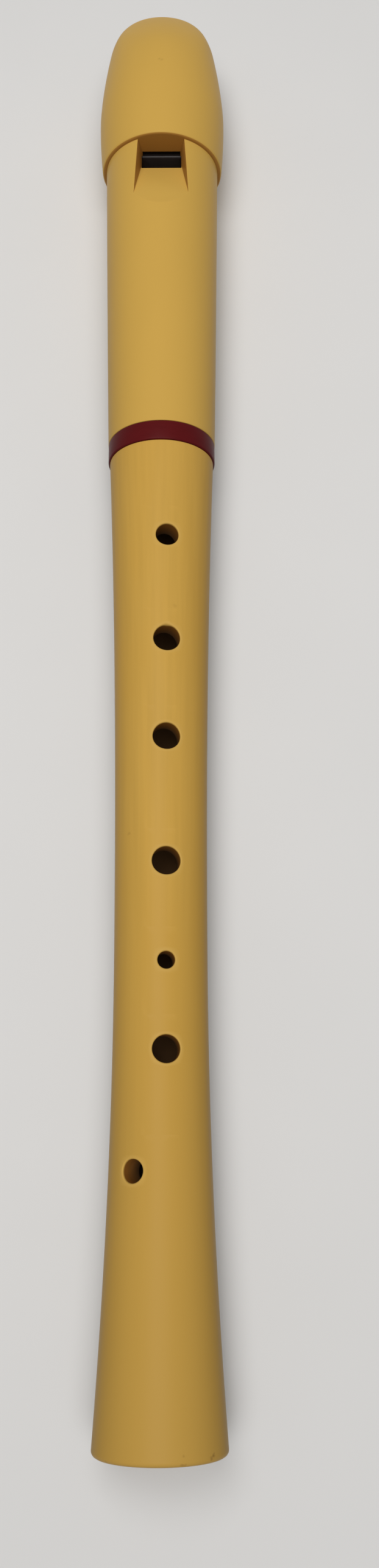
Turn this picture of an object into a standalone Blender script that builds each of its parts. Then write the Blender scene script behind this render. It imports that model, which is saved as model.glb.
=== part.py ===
"""Two-part descant recorder, lying down with its window and finger holes facing up.

Every piece is built upright: local +Z runs along the bore from the foot end to the beak tip, and the
window and finger holes face local -Y. One empty on the bore axis then lays the whole instrument down,
so that the bore runs along world +Y and the holes face world +Z.
"""
import math

import bmesh
import bpy
from mathutils import Matrix

# Driving dimensions, all in metres

# lengths along the bore
BODY_LENGTH = 0.2043
RING_WIDTH = 0.0045
HEAD_LENGTH = 0.0736
CAP_LENGTH = 0.0405
TENON_LENGTH = 0.0222
NECK_LENGTH = 0.0085

# bore
FOOT_BORE_RADIUS = 0.0043
TENON_BORE_RADIUS = 0.00615
HEAD_BORE_RADIUS = 0.0069
FOOT_BORE_CHAMFER = 0.0008

# walls and steps, counted outwards from the bore
WAIST_WALL = 0.00448
WAIST_STATION = 0.091
FOOT_FLARE = 0.00335
TENON_WALL = 0.00305
CORK_THICKNESS = 0.0010
CORK_PROUD = 0.0003
CORK_LENGTH = 0.0130
CORK_START = 0.0062
SOCKET_WALL = 0.00225
RING_SETBACK = 0.00005
SHOULDER_STEP = 0.00035
HEAD_SWELL = 0.00133
CAP_STEP = 0.00092
CAP_SWELL = 0.00072
CAP_WIDEST = 0.0140

# clearances between pieces that touch
SEAT_GAP = 0.0003
SOCKET_END_GAP = 0.0005

# edges
FOOT_EDGE_RADIUS = 0.0010
EDGE_BREAK = 0.0003

# exponents of the turned curves
FOOT_CURVE = 2.0
SHOULDER_CURVE = 2.2
HEAD_CURVE = 0.88
BEAK_CURVE = 1.56

# window and labium
CUT_UP = 0.0040
LABIUM_HEIGHT = 0.00735
LABIUM_THICKNESS = 0.00025
LABIUM_UNDERCUT = 0.0070
LABIUM_SLOPE = math.radians(21.8)
WINDOW_WIDTH = 0.0094
WINDOW_DRAFT = math.radians(10.0)
RAMP_FLARE = math.radians(8.2)

# windway and block
WINDWAY_EXIT_WIDTH = 0.0090
WINDWAY_ENTRY_WIDTH = 0.0105
WINDWAY_FLOOR = 0.0062
WINDWAY_DROP = 0.0032
WINDWAY_EXIT_HEIGHT = 0.00115
WINDWAY_ENTRY_HEIGHT = 0.0016
BLOCK_LAND = 0.00015
BLOCK_SOCKET_WALL = 0.0027
KEY_CHEEK = 0.0009

# beak
BEAK_TAPER = 0.0037
TIP_CORNER_LENGTH = 0.0080
TIP_CORNER_DEPTH = 0.0036
BEAK_TOP_ARC = 0.0500
BEAK_TOP_CROWN = 0.0152
BEAK_TOP_START = 0.0127
BEAK_TOP_LIFT = 0.00066
BEAK_LIP = 0.0020
LIP_WALL = 0.0020
UNDERCUT_START = 0.0075
UNDERCUT_ARC = 0.0480

# How far the body is turned on its tenon, against the window: the two are seldom quite in line
BODY_TURN = math.radians(8.0)

# finger holes: distance from the foot end, diameter, turn about the bore in degrees from the hole line
FINGER_HOLES = {
    "hole_1": (0.1823, 0.0049, 0.0),
    "hole_2": (0.1587, 0.00565, 0.0),
    "hole_3": (0.1371, 0.0057, 0.0),
    "hole_4": (0.1108, 0.0058, 0.0),
    "hole_5": (0.0907, 0.0035, 0.0),
    "hole_6": (0.0734, 0.0055, 0.0),
    "hole_7": (0.0506, 0.0045, -39.0),
    "thumb_hole": (0.1960, 0.0050, 180.0),
}

# A facet, and not an edge, lies along the bottom when the count is twice an odd number.
SEGMENTS = 50
HOLE_SEGMENTS = 28
ARC_SEGMENTS = 144
CROWN_STEPS = 24
BODY_STEPS = 9
HEAD_STEPS = 8
BEAK_STEPS = 8
SWELL_STEPS = 4
EDGE_STEPS = 3

# How far cutters stand out past what they cut, and how far they run past an open end
REACH = 0.05
OVERSHOOT = 0.001

# Points of a turned shape closer than this are one, and a bend sharper than this shows as an edge
MERGE_DISTANCE = 0.00001
SHARP_ANGLE = math.radians(30.0)

# Sizes that follow from the driving dimensions; stations are distances from the foot end
RING_STATION = BODY_LENGTH + SEAT_GAP
HEAD_STATION = RING_STATION + RING_WIDTH + SEAT_GAP
NECK_STATION = HEAD_STATION + HEAD_LENGTH
CAP_STATION = NECK_STATION + SEAT_GAP
TIP_STATION = CAP_STATION + CAP_LENGTH
TENON_END = BODY_LENGTH + TENON_LENGTH
SOCKET_END = TENON_END + SOCKET_END_GAP
NECK_END = NECK_STATION + NECK_LENGTH
LABIUM_STATION = CAP_STATION - CUT_UP

TENON_RADIUS = TENON_BORE_RADIUS + TENON_WALL
CORK_RADIUS = TENON_RADIUS + CORK_PROUD
CORK_BORE_RADIUS = CORK_RADIUS - CORK_THICKNESS
GROOVE_RADIUS = CORK_BORE_RADIUS - SEAT_GAP
CORK_STATION = BODY_LENGTH + CORK_START
SOCKET_RADIUS = CORK_RADIUS + SEAT_GAP
HEAD_LOW_RADIUS = SOCKET_RADIUS + SOCKET_WALL
HEAD_TOP_RADIUS = HEAD_LOW_RADIUS + HEAD_SWELL
RING_RADIUS = HEAD_LOW_RADIUS - RING_SETBACK
RING_BORE_RADIUS = TENON_RADIUS + SEAT_GAP
SHOULDER_RADIUS = RING_RADIUS - SHOULDER_STEP
CAP_EDGE_RADIUS = HEAD_TOP_RADIUS + CAP_STEP
CAP_RADIUS = CAP_EDGE_RADIUS + CAP_SWELL
BLOCK_RADIUS = math.hypot(WINDWAY_FLOOR, WINDWAY_EXIT_WIDTH / 2 + BLOCK_LAND)
BLOCK_SOCKET_RADIUS = BLOCK_RADIUS + SEAT_GAP
NECK_RADIUS = BLOCK_SOCKET_RADIUS + BLOCK_SOCKET_WALL
KEY_HALF_WIDTH = WINDWAY_EXIT_WIDTH / 2 + KEY_CHEEK


def bore_radius(station):
    """Radius of the body's bore, a straight taper from the tenon end down to the foot."""
    share = station / TENON_END
    return FOOT_BORE_RADIUS + (TENON_BORE_RADIUS - FOOT_BORE_RADIUS) * share


WAIST_RADIUS = bore_radius(WAIST_STATION) + WAIST_WALL


def body_radius(station):
    """Outer radius of the lower body: waisted, flaring to the foot and to the shoulder."""
    if station < WAIST_STATION:
        share = (WAIST_STATION - station) / WAIST_STATION
        return WAIST_RADIUS + FOOT_FLARE * share ** FOOT_CURVE
    share = (station - WAIST_STATION) / (BODY_LENGTH - WAIST_STATION)
    return WAIST_RADIUS + (SHOULDER_RADIUS - WAIST_RADIUS) * share ** SHOULDER_CURVE


def head_radius(station):
    """Outer radius of the head tube, swelling gently from the ring to the cap."""
    share = (station - HEAD_STATION) / HEAD_LENGTH
    return HEAD_LOW_RADIUS + HEAD_SWELL * share ** HEAD_CURVE


def cap_radius(station):
    """Outer radius of the cap: a slight swell, a long taper and a rounded corner at the tip."""
    along = station - CAP_STATION
    if along < CAP_WIDEST:
        share = 1 - along / CAP_WIDEST
        return CAP_RADIUS - CAP_SWELL * share ** 2
    share = (along - CAP_WIDEST) / (CAP_LENGTH - CAP_WIDEST)
    radius = CAP_RADIUS - BEAK_TAPER * share ** BEAK_CURVE
    corner = min(1.0, max(0.0, 1 - (CAP_LENGTH - along) / TIP_CORNER_LENGTH))
    return radius - TIP_CORNER_DEPTH * (1 - math.sqrt(1 - corner ** 2))


def windway_floor(station):
    """Height of the windway's floor above the bore axis, falling towards the beak tip."""
    return WINDWAY_FLOOR - WINDWAY_DROP * (station - CAP_STATION) / CAP_LENGTH


def undercut_centre():
    """Centre of the arc that hollows the beak from below.

    The arc runs from the cap's underside at UNDERCUT_START to the lip under the windway's mouth.
    """
    start = (CAP_STATION + UNDERCUT_START, -cap_radius(CAP_STATION + UNDERCUT_START))
    end = (TIP_STATION, windway_floor(TIP_STATION) - BEAK_LIP)
    chord = math.dist(start, end)
    middle = ((start[0] + end[0]) / 2, (start[1] + end[1]) / 2)
    offset = math.sqrt(UNDERCUT_ARC ** 2 - chord ** 2 / 4)
    return (
        middle[0] + offset * (end[1] - start[1]) / chord,
        middle[1] - offset * (end[0] - start[0]) / chord,
    )


def clear_scene():
    """Start from an empty file."""
    for obj in list(bpy.data.objects):
        bpy.data.objects.remove(obj, do_unlink=True)


def new_collection(name):
    """Collection linked to the scene."""
    collection = bpy.data.collections.new(name)
    bpy.context.scene.collection.children.link(collection)
    return collection


def new_material(name, color, roughness, metallic=0.0):
    """Plain Principled material."""
    material = bpy.data.materials.new(name)
    material.use_nodes = True
    shader = material.node_tree.nodes["Principled BSDF"]
    shader.inputs["Base Color"].default_value = (*color, 1.0)
    shader.inputs["Roughness"].default_value = roughness
    shader.inputs["Metallic"].default_value = metallic
    return material


clear_scene()
PARTS = new_collection("descant_recorder")
CUTTERS = new_collection("cutters")

# The recorder lies on the facet under the cap, just before the beak's hollow begins.
AXIS_HEIGHT = cap_radius(CAP_STATION + UNDERCUT_START) * math.cos(math.pi / SEGMENTS)

BORE_AXIS = bpy.data.objects.new("bore_axis", None)
BORE_AXIS.location = (0.0, -TIP_STATION / 2, AXIS_HEIGHT)
BORE_AXIS.rotation_euler = (-math.pi / 2, 0.0, 0.0)
PARTS.objects.link(BORE_AXIS)


def add_object(name, mesh, collection):
    """Object on the bore axis, in the upright frame of the instrument."""
    obj = bpy.data.objects.new(name, mesh)
    obj.parent = BORE_AXIS
    collection.objects.link(obj)
    if collection is CUTTERS:
        obj.hide_render = True
        obj.display_type = "WIRE"
    return obj


def turned(name, outline, collection, closed=True, segments=SEGMENTS):
    """Body of revolution from (station, radius) points that run down the outer side first."""
    mesh = bpy.data.meshes.new(name)
    points = [(radius, 0.0, station) for station, radius in outline]
    edges = [(i, i + 1) for i in range(len(points) - 1)]
    if closed:
        edges.append((len(points) - 1, 0))
    mesh.from_pydata(points, edges, [])
    obj = add_object(name, mesh, collection)
    screw = obj.modifiers.new("turn", "SCREW")
    screw.axis = "Z"
    screw.steps = segments
    screw.render_steps = segments
    screw.use_merge_vertices = True
    screw.merge_threshold = MERGE_DISTANCE
    return obj


def cylinder(name, radius, low, high, collection):
    """Cylinder along the bore between two stations."""
    mesh = bpy.data.meshes.new(name)
    shape = bmesh.new()
    bmesh.ops.create_cone(shape, cap_ends=True, segments=SEGMENTS, radius1=radius, radius2=radius,
                          depth=high - low)
    bmesh.ops.rotate(shape, verts=shape.verts, matrix=Matrix.Rotation(math.pi / SEGMENTS, 3, "Z"))
    bmesh.ops.translate(shape, verts=shape.verts, vec=(0.0, 0.0, (low + high) / 2))
    shape.to_mesh(mesh)
    shape.free()
    return add_object(name, mesh, collection)


def wedge(name, low_section, high_section):
    """Six-sided cutter lofted between two sections across the bore.

    A section is (station, floor height, half width at the floor, roof height, half width at the roof).
    """
    mesh = bpy.data.meshes.new(name)
    shape = bmesh.new()
    bmesh.ops.create_cube(shape, size=1.0)
    for vert in shape.verts:
        station, floor, floor_half, roof, roof_half = high_section if vert.co.z > 0 else low_section
        at_roof = vert.co.y < 0
        half = roof_half if at_roof else floor_half
        side = 1 if vert.co.x > 0 else -1
        vert.co = (side * half, -(roof if at_roof else floor), station)
    shape.to_mesh(mesh)
    shape.free()
    return add_object(name, mesh, CUTTERS)


def cut(obj, *cutters):
    """Cut each of the cutters out of an object."""
    for cutter in cutters:
        boolean = obj.modifiers.new(cutter.name, "BOOLEAN")
        boolean.object = cutter
        boolean.operation = "DIFFERENCE"
        boolean.solver = "EXACT"


def finish(obj, material):
    """Keep the modelled shape as a plain mesh, smooth but for its real edges."""
    graph = bpy.context.evaluated_depsgraph_get()
    mesh = bpy.data.meshes.new_from_object(obj.evaluated_get(graph))
    obj.modifiers.clear()
    obj.data = mesh
    mesh.materials.clear()
    mesh.materials.append(material)
    mesh.shade_smooth()
    mesh.set_sharp_from_angle(angle=SHARP_ANGLE)


def steps(low, high, count):
    """Evenly spaced values from low to high, both included."""
    return [low + (high - low) * i / count for i in range(count + 1)]


def hole_cutter(name, station, diameter, turn):
    """Round cutter across the wall on one side of the bore."""
    mesh = bpy.data.meshes.new(name)
    shape = bmesh.new()
    bmesh.ops.create_cone(shape, cap_ends=True, segments=HOLE_SEGMENTS, radius1=diameter / 2,
                          radius2=diameter / 2, depth=REACH)
    shape.to_mesh(mesh)
    shape.free()
    cutter = add_object(name, mesh, CUTTERS)
    angle = BODY_TURN + math.radians(turn)
    outwards = (math.sin(angle), -math.cos(angle))
    cutter.location = (outwards[0] * REACH / 2, outwards[1] * REACH / 2, station)
    cutter.rotation_euler = (math.pi / 2, 0.0, angle)
    return cutter


def build_lower_body(material):
    """Waisted tube with the tenon on top and a flared foot."""
    groove_low = CORK_STATION - SEAT_GAP
    groove_high = CORK_STATION + CORK_LENGTH + SEAT_GAP
    outline = [
        (TENON_END, TENON_RADIUS - EDGE_BREAK),
        (TENON_END - EDGE_BREAK, TENON_RADIUS),
        (groove_high, TENON_RADIUS),
        (groove_high, GROOVE_RADIUS),
        (groove_low, GROOVE_RADIUS),
        (groove_low, TENON_RADIUS),
        (BODY_LENGTH, TENON_RADIUS),
        (BODY_LENGTH, SHOULDER_RADIUS - EDGE_BREAK),
    ]
    for station in steps(BODY_LENGTH - EDGE_BREAK, WAIST_STATION, BODY_STEPS):
        outline.append((station, body_radius(station)))
    for station in steps(WAIST_STATION, FOOT_EDGE_RADIUS, BODY_STEPS)[1:]:
        outline.append((station, body_radius(station)))
    edge_centre = body_radius(FOOT_EDGE_RADIUS) - FOOT_EDGE_RADIUS
    for angle in steps(0.0, math.pi / 2, EDGE_STEPS)[1:]:
        outline.append((FOOT_EDGE_RADIUS * (1 - math.sin(angle)),
                        edge_centre + FOOT_EDGE_RADIUS * math.cos(angle)))
    outline.append((0.0, bore_radius(0.0) + FOOT_BORE_CHAMFER))
    outline.append((FOOT_BORE_CHAMFER, bore_radius(FOOT_BORE_CHAMFER)))
    outline.append((TENON_END, TENON_BORE_RADIUS))
    body = turned("lower_body", outline, PARTS)
    cut(body, *(hole_cutter(name, *hole) for name, hole in FINGER_HOLES.items()))
    finish(body, material)


def sleeve(name, low, length, inner_radius, outer_radius):
    """Short tube whose outer edges are broken."""
    high = low + length
    return turned(name, [
        (high, outer_radius - EDGE_BREAK),
        (high - EDGE_BREAK, outer_radius),
        (low + EDGE_BREAK, outer_radius),
        (low, outer_radius - EDGE_BREAK),
        (low, inner_radius),
        (high, inner_radius),
    ], PARTS)


def build_tenon_cork(material):
    """Cork sleeve in the tenon's groove."""
    finish(sleeve("tenon_cork", CORK_STATION, CORK_LENGTH, CORK_BORE_RADIUS, CORK_RADIUS), material)


def build_colour_ring(material):
    """Loose ring on the tenon between body and head."""
    finish(sleeve("colour_ring", RING_STATION, RING_WIDTH, RING_BORE_RADIUS, RING_RADIUS), material)


def build_head_tube(material):
    """Tube with the socket, the window and the neck that carries the cap."""
    outline = [
        (NECK_END, NECK_RADIUS - EDGE_BREAK),
        (NECK_END - EDGE_BREAK, NECK_RADIUS),
        (NECK_STATION, NECK_RADIUS),
    ]
    for station in steps(NECK_STATION, HEAD_STATION + EDGE_BREAK, HEAD_STEPS):
        outline.append((station, head_radius(station)))
    outline += [
        (HEAD_STATION, HEAD_LOW_RADIUS - EDGE_BREAK),
        (HEAD_STATION, SOCKET_RADIUS + EDGE_BREAK),
        (HEAD_STATION + EDGE_BREAK, SOCKET_RADIUS),
        (SOCKET_END, SOCKET_RADIUS),
        (SOCKET_END, HEAD_BORE_RADIUS),
        (NECK_STATION, HEAD_BORE_RADIUS),
        (NECK_STATION, BLOCK_SOCKET_RADIUS),
        (NECK_END, BLOCK_SOCKET_RADIUS),
    ]
    head = turned("head_tube", outline, PARTS)
    cut(head, window_cutter(), labium_undercut_cutter(), ramp_cutter(), key_slot_cutter())
    finish(head, material)


def window_cutter():
    """Straight-sided opening between the labium's edge and the windway's exit."""
    half = WINDOW_WIDTH / 2
    return wedge("window", (LABIUM_STATION, 0.0, half, REACH, half), (CAP_STATION, 0.0, half, REACH, half))


def labium_undercut_cutter():
    """Flat under the labium, so that its edge is straight and thin."""
    half = WINDOW_WIDTH / 2 - EDGE_BREAK
    flat = LABIUM_HEIGHT - LABIUM_THICKNESS
    return wedge("labium_undercut", (LABIUM_STATION - LABIUM_UNDERCUT, 0.0, half, flat, half),
                 (LABIUM_STATION + EDGE_BREAK, 0.0, half, flat, half))


def ramp_cutter():
    """Sloping labium ramp with side walls that flare outwards and downstream."""
    rise = HEAD_TOP_RADIUS - LABIUM_HEIGHT
    run_out = LABIUM_STATION - rise / math.tan(LABIUM_SLOPE) - CUT_UP

    def section(station):
        drop = LABIUM_STATION - station
        floor = LABIUM_HEIGHT + drop * math.tan(LABIUM_SLOPE)
        floor_half = (WINDOW_WIDTH + EDGE_BREAK) / 2 + drop * math.tan(RAMP_FLARE)
        roof_half = floor_half + (REACH - floor) * math.tan(WINDOW_DRAFT)
        return station, floor, floor_half, REACH, roof_half

    return wedge("ramp", section(run_out), section(CAP_STATION))


def key_slot_cutter():
    """Slot in the neck for the key that hangs from the cap over the windway."""
    half = KEY_HALF_WIDTH + SEAT_GAP
    return wedge("key_slot", (NECK_STATION, 0.0, half, REACH, half),
                 (NECK_END + SEAT_GAP, 0.0, half, REACH, half))


def across(obj, centre_station, centre_height):
    """Lay a turned cutter across the bore, with its axis along X."""
    obj.location = (0.0, -centre_height, centre_station)
    obj.rotation_euler = (0.0, math.pi / 2, 0.0)
    return obj


def undercut_cutter():
    """Drum that hollows the beak's underside."""
    drum = turned("beak_undercut", [(REACH / 2, 0.0), (REACH / 2, UNDERCUT_ARC),
                                    (-REACH / 2, UNDERCUT_ARC), (-REACH / 2, 0.0)],
                  CUTTERS, closed=False, segments=ARC_SEGMENTS)
    return across(drum, *undercut_centre())


def beak_top_cutter():
    """Everything above the crowned arc that lowers the beak's top towards the tip."""
    outline = [(REACH / 2, 0.0)]
    for offset in steps(REACH / 2, -REACH / 2, CROWN_STEPS):
        outline.append((offset, BEAK_TOP_ARC - offset ** 2 / (2 * BEAK_TOP_CROWN)))
    outline.append((-REACH / 2, 0.0))
    barrel = turned("beak_top_arc", outline, CUTTERS, closed=False, segments=ARC_SEGMENTS)
    start = CAP_STATION + BEAK_TOP_START
    across(barrel, start, CAP_RADIUS + BEAK_TOP_LIFT - BEAK_TOP_ARC)
    half = REACH / 2 - OVERSHOOT
    cutter = wedge("beak_top", (start, 0.0, half, REACH, half),
                   (TIP_STATION + OVERSHOOT, 0.0, half, REACH, half))
    cut(cutter, barrel)
    return cutter


def over_floor_cutter(name, lift, half_width):
    """Everything above the plane of the windway's floor, raised by a lift."""
    low = CAP_STATION - 2 * OVERSHOOT
    high = TIP_STATION + 2 * OVERSHOOT
    return wedge(name, (low, windway_floor(low) + lift, half_width, REACH, half_width),
                 (high, windway_floor(high) + lift, half_width, REACH, half_width))


def windway_cutter():
    """Tapered air channel between the block's flat top and the cap."""

    def section(station):
        share = (station - CAP_STATION) / CAP_LENGTH
        floor = windway_floor(station)
        height = WINDWAY_EXIT_HEIGHT + (WINDWAY_ENTRY_HEIGHT - WINDWAY_EXIT_HEIGHT) * share
        half = (WINDWAY_EXIT_WIDTH + (WINDWAY_ENTRY_WIDTH - WINDWAY_EXIT_WIDTH) * share) / 2
        return station, floor, half, floor + height, half

    return wedge("windway", section(CAP_STATION - OVERSHOOT), section(TIP_STATION + OVERSHOOT))


def neck_cavity_cutter():
    """Room for the neck in the cap, round the key that stays standing over the windway."""
    cavity = cylinder("neck_cavity", NECK_RADIUS + SEAT_GAP, CAP_STATION - OVERSHOOT,
                      NECK_END + SEAT_GAP, CUTTERS)
    cut(cavity, over_floor_cutter("key", -OVERSHOOT, KEY_HALF_WIDTH))
    return cavity


def block_hole_cutter():
    """Hole for the block, flat on top and closed by the lip at the beak's tip."""
    hole = cylinder("block_hole", BLOCK_SOCKET_RADIUS, CAP_STATION - OVERSHOOT,
                    TIP_STATION - LIP_WALL, CUTTERS)
    cut(hole, over_floor_cutter("block_hole_roof", SEAT_GAP, REACH))
    return hole


def build_beak_cap(material):
    """Mouthpiece cap: turned outside, hollowed for the neck and the block."""
    outline = [(TIP_STATION, 0.0)]
    for angle in steps(math.pi / 2, 0.0, 2 * EDGE_STEPS):
        station = TIP_STATION - TIP_CORNER_LENGTH * (1 - math.sin(angle))
        outline.append((station, cap_radius(station)))
    for station in steps(TIP_STATION - TIP_CORNER_LENGTH, CAP_STATION + CAP_WIDEST, BEAK_STEPS)[1:-1]:
        outline.append((station, cap_radius(station)))
    for station in steps(CAP_STATION + CAP_WIDEST, CAP_STATION + EDGE_BREAK, SWELL_STEPS):
        outline.append((station, cap_radius(station)))
    outline.append((CAP_STATION, CAP_EDGE_RADIUS - EDGE_BREAK))
    outline.append((CAP_STATION, 0.0))
    cap = turned("beak_cap", outline, PARTS, closed=False)
    cut(cap, beak_top_cutter(), UNDERCUT, neck_cavity_cutter(), block_hole_cutter(), windway_cutter())
    finish(cap, material)


def build_block(material):
    """Round plug with a flat top, its far end cut flush with the hollow under the beak."""
    block = cylinder("block", BLOCK_RADIUS, CAP_STATION, TIP_STATION - LIP_WALL - SEAT_GAP, PARTS)
    cut(block, over_floor_cutter("block_top", 0.0, REACH), UNDERCUT)
    finish(block, material)


BODY_WOOD = new_material("lacquered_maple", (0.56, 0.34, 0.085), 0.38)
HEAD_PLASTIC = new_material("ochre_plastic", (0.59, 0.37, 0.09), 0.35)
RING_PLASTIC = new_material("maroon_plastic", (0.09, 0.009, 0.011), 0.38)
CORK = new_material("cork", (0.42, 0.24, 0.12), 0.9)
BLOCK_PLASTIC = new_material("block_plastic", (0.012, 0.011, 0.011), 0.5)

UNDERCUT = undercut_cutter()

build_lower_body(BODY_WOOD)
build_tenon_cork(CORK)
build_colour_ring(RING_PLASTIC)
build_head_tube(HEAD_PLASTIC)
build_beak_cap(HEAD_PLASTIC)
build_block(BLOCK_PLASTIC)
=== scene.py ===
"""Looks of a descant recorder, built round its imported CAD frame.

Each CAD node gets a finer mesh of the same size in its place, with rounder curves and softened edges.
All lengths are in metres. A station is a distance along the bore from the foot end, a height is counted
from the bore axis, and an angle runs about the bore from straight up, where the window faces, to +X.
"""
import math

import bmesh
import bpy
import numpy as np
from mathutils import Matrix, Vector


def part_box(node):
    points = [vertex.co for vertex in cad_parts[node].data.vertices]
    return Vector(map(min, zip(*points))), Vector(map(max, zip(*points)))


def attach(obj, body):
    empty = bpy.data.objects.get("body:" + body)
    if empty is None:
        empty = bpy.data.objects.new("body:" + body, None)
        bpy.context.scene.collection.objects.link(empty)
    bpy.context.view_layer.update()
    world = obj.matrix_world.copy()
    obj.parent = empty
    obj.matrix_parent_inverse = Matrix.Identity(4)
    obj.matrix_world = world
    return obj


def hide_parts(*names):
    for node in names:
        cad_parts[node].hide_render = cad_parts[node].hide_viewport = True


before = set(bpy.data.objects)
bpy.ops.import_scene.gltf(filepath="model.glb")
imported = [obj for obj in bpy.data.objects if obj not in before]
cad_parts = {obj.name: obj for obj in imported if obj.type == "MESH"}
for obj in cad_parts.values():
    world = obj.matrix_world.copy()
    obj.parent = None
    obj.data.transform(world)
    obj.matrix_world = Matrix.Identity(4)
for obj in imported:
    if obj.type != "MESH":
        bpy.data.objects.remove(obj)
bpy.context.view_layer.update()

# Camera over the foot end, where the photograph was taken from, and the photograph's height in pixels
IMAGE_HEIGHT = 2576
FOCAL_PIXELS = 2250
SENSOR_MILLIMETRES = 36.0
NEAR_CLIP = 0.01
CAMERA_STATION = 0.0487
CAMERA_SIDE = 0.0061
CAMERA_ABOVE_AXIS = 0.2782
CAMERA_PITCH = math.radians(16.18)
CAMERA_ROLL = math.radians(0.09)
CAMERA_YAW = math.radians(-0.24)

# Where the bore runs, read from the frame
FOOT_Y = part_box("lower_body")[0].y
AXIS_Z = (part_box("colour_ring")[0].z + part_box("colour_ring")[1].z) / 2


def span(node):
    """Lowest station, highest station and radius of a CAD node."""
    low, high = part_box(node)
    return low.y - FOOT_Y, high.y - FOOT_Y, (high.x - low.x) / 2


RING_LOW, RING_HIGH, RING_RADIUS = span("colour_ring")
CORK_LOW, CORK_HIGH, CORK_RADIUS = span("tenon_cork")
_, NECK_HIGH, HEAD_TOP_RADIUS = span("head_tube")
CAP_LOW, TIP, CAP_RADIUS = span("beak_cap")
BLOCK_LOW, BLOCK_HIGH, BLOCK_RADIUS = span("block")
TENON_HIGH = span("lower_body")[1]

# Clearances between the pieces, and the finer joints that show outside
SEAT_GAP = 0.0003
SOCKET_END_GAP = 0.0005
VISIBLE_GAP = 0.00005
BODY_HIGH = RING_LOW - VISIBLE_GAP
HEAD_LOW = RING_HIGH + VISIBLE_GAP
NECK_LOW = CAP_LOW - VISIBLE_GAP
SOCKET_HIGH = TENON_HIGH + SOCKET_END_GAP

# Bore
FOOT_BORE_RADIUS = 0.0043
TENON_BORE_RADIUS = 0.00615
HEAD_BORE_RADIUS = 0.0069
FOOT_BORE_CHAMFER = 0.0008

# Turned outside of body, tenon and head
WAIST_STATION = 0.091
WAIST_WALL = 0.00448
FOOT_FLARE = 0.00335
FOOT_CURVE = 2.0
SHOULDER_CURVE = 2.2
SHOULDER_RADIUS = RING_RADIUS - 0.00035
TENON_RADIUS = CORK_RADIUS - 0.0003
CORK_BORE_RADIUS = CORK_RADIUS - 0.0010
SOCKET_RADIUS = CORK_RADIUS + SEAT_GAP
HEAD_LOW_RADIUS = RING_RADIUS + 0.00005
HEAD_CURVE = 0.88
NECK_RADIUS = 0.01075
BLOCK_SOCKET_RADIUS = BLOCK_RADIUS + SEAT_GAP

# Turned outside of the cap and its beak
CAP_EDGE_RADIUS = HEAD_TOP_RADIUS + 0.00092
CAP_WIDEST = CAP_LOW + 0.0140
BEAK_TAPER = 0.0037
BEAK_CURVE = 1.56
TIP_CORNER_LENGTH = 0.0080
TIP_CORNER_DEPTH = 0.0036

# Arcs that hollow the beak above and below, and how wide their creases are
TOP_START = CAP_LOW + 0.0127
TOP_ARC = 0.0500
TOP_CROWN = 0.0152
TOP_LIFT = 0.00066
UNDER_START = CAP_LOW + 0.0075
UNDER_ARC = 0.0480
TOP_CREASE = 0.0010
UNDER_CREASE = 0.0007

# Lip at the tip: its height below the windway, how far its edge is rounded, and the wall behind the block
BEAK_LIP = 0.0020
LIP_EDGE = 0.0010
LIP_WALL = 0.0020

# Window, labium ramp and windway
LABIUM_STATION = CAP_LOW - 0.0040
LABIUM_HEIGHT = 0.00735
LABIUM_THICKNESS = 0.00025
LABIUM_UNDERCUT = 0.0070
LABIUM_SLOPE = math.radians(21.8)
WINDOW_WIDTH = 0.0094
WINDOW_DRAFT = math.radians(10.0)
RAMP_FLARE = math.radians(8.2)
WINDWAY_EXIT_WIDTH = 0.0090
WINDWAY_ENTRY_WIDTH = 0.0105
WINDWAY_FLOOR = 0.0062
WINDWAY_DROP = 0.0032
WINDWAY_EXIT_HEIGHT = 0.00115
WINDWAY_ENTRY_HEIGHT = 0.0016
KEY_HALF_WIDTH = WINDWAY_EXIT_WIDTH / 2 + 0.0009
ROOF_CHAMFER = 0.0007
BLOCK_CHAMFER = 0.00025

# Seven finger holes and, last, the thumb hole: station, radius, angle about the bore
HOLE_LINE = math.radians(8.0)
HOLES = [
    (0.1823, 0.00245, HOLE_LINE),
    (0.1587, 0.002825, HOLE_LINE),
    (0.1371, 0.00285, HOLE_LINE),
    (0.1108, 0.00290, HOLE_LINE),
    (0.0907, 0.00175, HOLE_LINE),
    (0.0734, 0.00275, HOLE_LINE),
    (0.0506, 0.00225, HOLE_LINE - math.radians(39.0)),
    (0.1960, 0.00250, HOLE_LINE + math.pi),
]

# Small chip in the rim of the second hole, on the side of the head
CHIPPED_HOLE = HOLES[1]
CHIP_SIZE = 0.0004
CHIP_SPREAD = math.radians(14.0)

# Small marks on the body: station, degrees about the bore, size, strength
STAINS = [
    (0.0019, 20.7, 0.0004, 0.25),
    (0.0003, 19.4, 0.0006, 0.60),
    (0.0003, 22.0, 0.0005, 0.60),
    (0.0009, 47.6, 0.0006, 0.40),
    (0.0014, 50.4, 0.0006, 0.55),
    (0.0003, -49.2, 0.0005, 0.40),
    (0.1169, -41.4, 0.0006, 0.20),
    (0.1659, 17.3, 0.0007, 0.12),
]

# Softened edges: their radii, the length over which cut edges grow, and the fade of the holes' painted shade
FOOT_EDGE = 0.0010
FOOT_ROUNDING = FOOT_EDGE * 0.98
TURNED_EDGE = 0.0003
CAP_EDGE = 0.0006
CUT_EDGE = 0.00016
HOLE_EDGE = 0.00032
EDGE_GROWTH = 0.0025
INNER_SHADE_FADE = 0.0003

# Fineness of the meshes: vertices round the bore, rows along it, and steps in a rounded edge
COLUMNS = 80
FINE_COLUMNS = 176
ROW_STEP = 0.003
CAP_ROWS = 40
UNDER_ROWS = 60
CORK_ROWS = 15
RAMP_ROWS = 2000
EDGE_STEPS = 4
BEVEL_STEPS = 2

# Rows from a hole's middle to its rim and to the end of the patch round it, and the patch's row spacing
HOLE_RING = 6
PATCH_RING = 10
PATCH_STEP = 0.00066

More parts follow.
